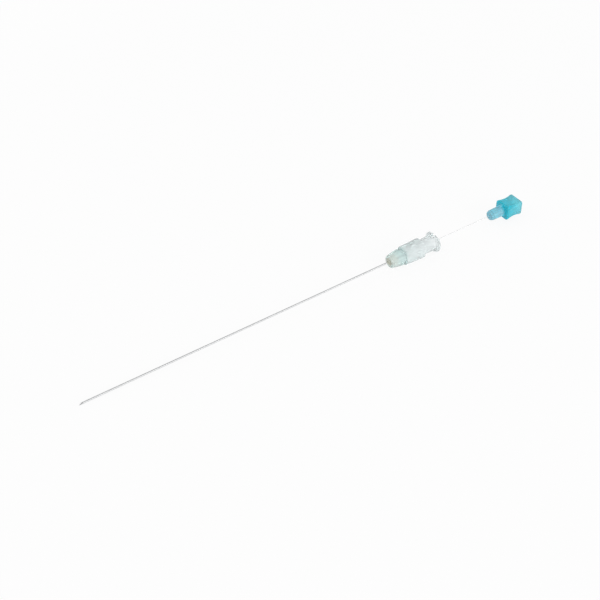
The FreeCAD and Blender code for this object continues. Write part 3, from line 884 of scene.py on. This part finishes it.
def plug_rows(handle, columns):
    """Rows of the plug, from the middle of its tip to its root, with the key in the top band.

    They are a line of rounded corners turned about X. From the key's front face on, the band's
    columns stand up to the key's flat top.
    """
    tip = handle.gap - handle.plug
    step = tip + handle.lead
    root = handle.plug_root / 2
    taper = (handle.plug_root - handle.plug_tip) / 2 / handle.plug
    line = rounded(
        [
            (tip, 0, 0),
            (tip, handle.plug_tip / 2 - handle.lead_step, 0.2),
            (step, handle.plug_tip / 2 - handle.lead_step + 0.02, 0.05),
            (step, handle.plug_tip / 2 + taper * handle.lead, 0.12),
            (-handle.key_deep, root - taper * (handle.gap + handle.key_deep), 0),
            (-handle.key_deep + 0.05, root - taper * (handle.gap + handle.key_deep - 0.05), 0),
            (handle.gap - 0.1, root - taper * 0.1, 0),
            (handle.gap, root + 0.1, 0),
        ]
    )
    points = turned(line, columns)
    behind = np.maximum(line[:, :1] + handle.key_deep, 0)
    top = root + handle.key_high
    # The key's front edge is rounded: its height is a quarter ellipse over this length
    key_round = 0.15
    share = np.sqrt(np.clip(1 - (1 - np.clip(behind / key_round, 0, 1)) ** 2, 0, 1))
    raised = points[..., 2] + share * (top - points[..., 2])
    points[..., 2] = np.where(columns.inside & (behind > 0), raised, points[..., 2])
    return points


def block_rows(handle, columns):
    """Rows of the handle's outside, from its front face to its rear face.

    Each is a rounded rectangle. Its four sides are hollowed by a circle's arc whose sagitta is the
    waist's depth. The end edges are inset by quarter circles.
    """
    front, rear = handle.gap, handle.gap + handle.deep
    turn = np.linspace(0, np.pi / 2, 7)
    x = np.concatenate(
        [
            front + handle.front_round * (1 - np.cos(turn)),
            np.linspace(front + handle.front_round, rear - handle.rear_round, 46)[1:-1],
            (rear - handle.rear_round * (1 - np.cos(turn)))[::-1],
        ]
    )
    inset = np.zeros(len(x))
    inset[: len(turn)] = handle.front_round * (1 - np.sin(turn))
    inset[-len(turn) :] = (handle.rear_round * (1 - np.sin(turn)))[::-1]
    circle = (handle.waist**2 / 4 + handle.waist_deep**2) / (2 * handle.waist_deep)
    from_middle = x - (front + rear) / 2
    hollow = np.sqrt(np.maximum(circle**2 - from_middle**2, 0)) - (circle - handle.waist_deep)
    hollow = smooth_max(hollow, 0.0, 0.03)
    sides = (inset + hollow)[:, None]
    corner = np.maximum(handle.corner - inset - 0.9 * hollow, 0.25)[:, None]
    angle = columns.angles(np.full(len(x), handle.high / 2))
    radius = block_radius(angle, handle.wide / 2 - sides, handle.high / 2 - sides, corner)
    return on_grid(x[:, None], radius, angle)


def cavity_rows(handle, columns):
    """Rows of the cavity: in along its walls, over its floor, out along the boss, to its middle."""
    rear = handle.gap + handle.deep
    floor = rear - handle.cavity_deep
    half_wide = handle.wide / 2 - handle.waist_deep - handle.wall
    half_high = handle.high / 2 - handle.waist_deep - handle.wall
    turn = np.linspace(0, np.pi / 2, 5)
    edge, foot = 0.12, 0.25
    # The wall's line as (x, inset): round the mouth, down the wall, round the foot
    mouth = np.stack([rear - edge * (1 - np.cos(turn)), -edge * (1 - np.sin(turn))], axis=1)
    bottom = np.stack([floor + foot * (1 - np.sin(turn)), foot * (1 - np.cos(turn))], axis=1)
    line = np.concatenate([mouth, bottom])
    x, inset = line[:, :1], line[:, 1:]
    angle = columns.angles(np.full(len(line), half_high))
    corner = np.maximum(handle.cavity_corner - inset, 0.15)
    walls = on_grid(x, block_radius(angle, half_wide - inset, half_high - inset, corner), angle)
    radius, rounding = handle.boss_wide / 2, 0.15
    boss = rounded(
        [
            (floor, radius + rounding + 0.02, 0),
            (floor, radius, rounding),
            (floor + handle.boss_high, radius, rounding),
            (floor + handle.boss_high, 0, 0),
        ]
    )
    return np.concatenate([walls, turned(boss, columns)])


# The stage


class NEEDLE_OT_stage(bpy.types.Operator):
    """Set up the pale floor, the soft light, the white surroundings and the camera."""

    bl_idname = "needle.stage"
    bl_label = "Stage"

    def execute(self, context):
        scene, studio = context.scene, context.scene.needle_studio
        add_floor(scene.needle_finishes.floor)
        add_surroundings(studio)
        add_lamp("key_lamp", studio.key, (0.45, -1.08, 0.45), 1.6, 0.8)
        add_lamp("fill_lamp", studio.key * 0.11, (-0.4, 0.3, 0.5), 0.6, 0.6)
        add_camera(scene, studio)
        scene.view_settings.view_transform = "Standard"
        return {"FINISHED"}


def add_floor(tint):
    """A wide disc just under the needle: x and y are s cos(a) and s sin(a), with s growing as a cube."""
    angle, share = np.meshgrid(np.linspace(0, 2 * np.pi, 65)[:-1], np.linspace(0.02, 1, 24))
    reach = 3.0 * share**3
    level = np.full_like(reach, CAD_BOX[0].z)
    points = np.stack([reach * np.cos(angle), reach * np.sin(angle), level], axis=2)
    number = np.arange(angle.size).reshape(angle.shape)
    following = np.roll(number, -1, axis=1)
    quads = np.stack([number[:-1], following[:-1], following[1:], number[1:]], axis=2).reshape(-1, 4)
    mesh = bpy.data.meshes.new("floor")
    mesh.from_pydata(points.reshape(-1, 3).tolist(), [], [*quads[:, ::-1].tolist(), number[0].tolist()])
    recipe = Recipe(bpy.data.materials.new("white_card"))
    place_on_floor = recipe.node("ShaderNodeTexCoord", output="Object")
    fibres = recipe.noise(place_on_floor)
    away = recipe.node("ShaderNodeVectorMath", {"operation": "LENGTH"}, {0: place_on_floor}, output="Value")
    tone = recipe.mixed(fibres, shaded(tint, 0.99), tint)
    card = recipe.node("ShaderNodeBsdfDiffuse", None, {"Color": tone})
    glow = recipe.node("ShaderNodeEmission", None, {"Color": (1, 1, 1, 1), "Strength": 1.0})
    # Near the needle a share of the card's own shading keeps the shadow, and it fades out to white
    sockets = {"Value": away, "From Min": 0.2, "From Max": 0.5, "To Min": 0.9, "To Max": 1.0}
    share_lit = seen_as_background(recipe) * recipe.node("ShaderNodeMapRange", None, sockets)
    recipe.finish(recipe.node("ShaderNodeMixShader", None, {0: share_lit, 1: card, 2: glow}))
    mesh.materials.append(recipe.owner)
    floor = bpy.data.objects.new("floor", mesh)
    bpy.context.scene.collection.objects.link(floor)


def add_surroundings(studio):
    """A white world that is dimmer overhead, but for the camera and for what is seen through plastic."""
    world = bpy.data.worlds.new("white_studio")
    bpy.context.scene.world = world
    recipe = Recipe(world)
    direction = recipe.node("ShaderNodeTexCoord", output="Generated")
    up = recipe.node("ShaderNodeSeparateXYZ", None, {0: direction}, output="Z")
    stops = {"stops": [(0.1, 1.0), (0.9, studio.overhead)]}
    dimmed = recipe.node("ShaderNodeValToRGB", stops, {0: up})
    path = recipe.node("ShaderNodeLightPath").socket.node.outputs
    rays = Signal(recipe, path["Is Camera Ray"]) + Signal(recipe, path["Is Transmission Ray"])
    plain = recipe.node("ShaderNodeClamp", None, {"Value": rays})
    strength = plain + (1 - plain) * dimmed * studio.sky
    recipe.finish(recipe.node("ShaderNodeBackground", None, {"Color": (1, 1, 1, 1), "Strength": strength}))


def add_lamp(name, power, position, wide, high):
    """A soft box that faces the needle."""
    lamp = bpy.data.lights.new(name, "AREA")
    lamp.shape = "RECTANGLE"
    lamp.energy, lamp.size, lamp.size_y = power, wide, high
    thing = bpy.data.objects.new(name, lamp)
    bpy.context.scene.collection.objects.link(thing)
    middle = Vector((-0.05, 0, 0))
    thing.location = middle + Vector(position)
    thing.rotation_euler = Vector(position).to_track_quat("Z", "Y").to_euler()


def add_camera(scene, studio):
    """The camera at the photograph's angle, level, with no shift and no depth of field."""
    lens = bpy.data.cameras.new("camera")
    lens.lens, lens.sensor_width = studio.lens, 36.0
    lens.clip_start, lens.clip_end = 0.01, 20.0
    camera = bpy.data.objects.new("camera", lens)
    scene.collection.objects.link(camera)
    level = math.cos(studio.elevation)
    across, ahead = math.sin(studio.azimuth) * level, math.cos(studio.azimuth) * level
    back = Vector((across, -ahead, math.sin(studio.elevation)))
    camera.location = Vector((-studio.aim, 0, 0)) + back * studio.distance
    camera.rotation_euler = back.to_track_quat("Z", "Y").to_euler()
    scene.camera = camera


class NEEDLE_PT_panel(bpy.types.Panel):
    """Lists the needle's sizes, finishes and making."""

    bl_label = "Spinal needle"
    bl_idname = "NEEDLE_PT_panel"
    bl_space_type = "VIEW_3D"
    bl_region_type = "UI"
    bl_category = "Needle"

    def draw(self, context):
        for name in GROUPS:
            group = getattr(context.scene, name)
            box = self.layout.box()
            for key in group.__annotations__:
                box.prop(group, key)
        for operator in OPERATORS:
            self.layout.operator(operator.bl_idname)


GROUPS = {
    "needle_steel": NeedleSteelSizes,
    "needle_point": NeedlePointAngles,
    "needle_hub": NeedleHubSizes,
    "needle_handle": NeedleHandleSizes,
    "needle_finishes": NeedleFinishes,
    "needle_studio": NeedleStudio,
}
OPERATORS = (
    NEEDLE_OT_stage,
    NEEDLE_OT_steel_tube,
    NEEDLE_OT_stylet_wire,
    NEEDLE_OT_hub,
    NEEDLE_OT_glue,
    NEEDLE_OT_handle,
)


def register():
    for name, group in GROUPS.items():
        bpy.utils.register_class(group)
        setattr(bpy.types.Scene, name, PointerProperty(type=group))
    for made in (*OPERATORS, NEEDLE_PT_panel):
        bpy.utils.register_class(made)


def unregister():
    for made in (NEEDLE_PT_panel, *reversed(OPERATORS)):
        bpy.utils.unregister_class(made)
    for name, group in reversed(GROUPS.items()):
        delattr(bpy.types.Scene, name)
        bpy.utils.unregister_class(group)


def main():
    """Build everything."""
    register()
    bpy.ops.needle.stage()
    bpy.ops.needle.steel_tube()
    bpy.ops.needle.stylet_wire()
    bpy.ops.needle.hub()
    bpy.ops.needle.glue()
    bpy.ops.needle.handle()


if __name__ == "__main__":
    main()
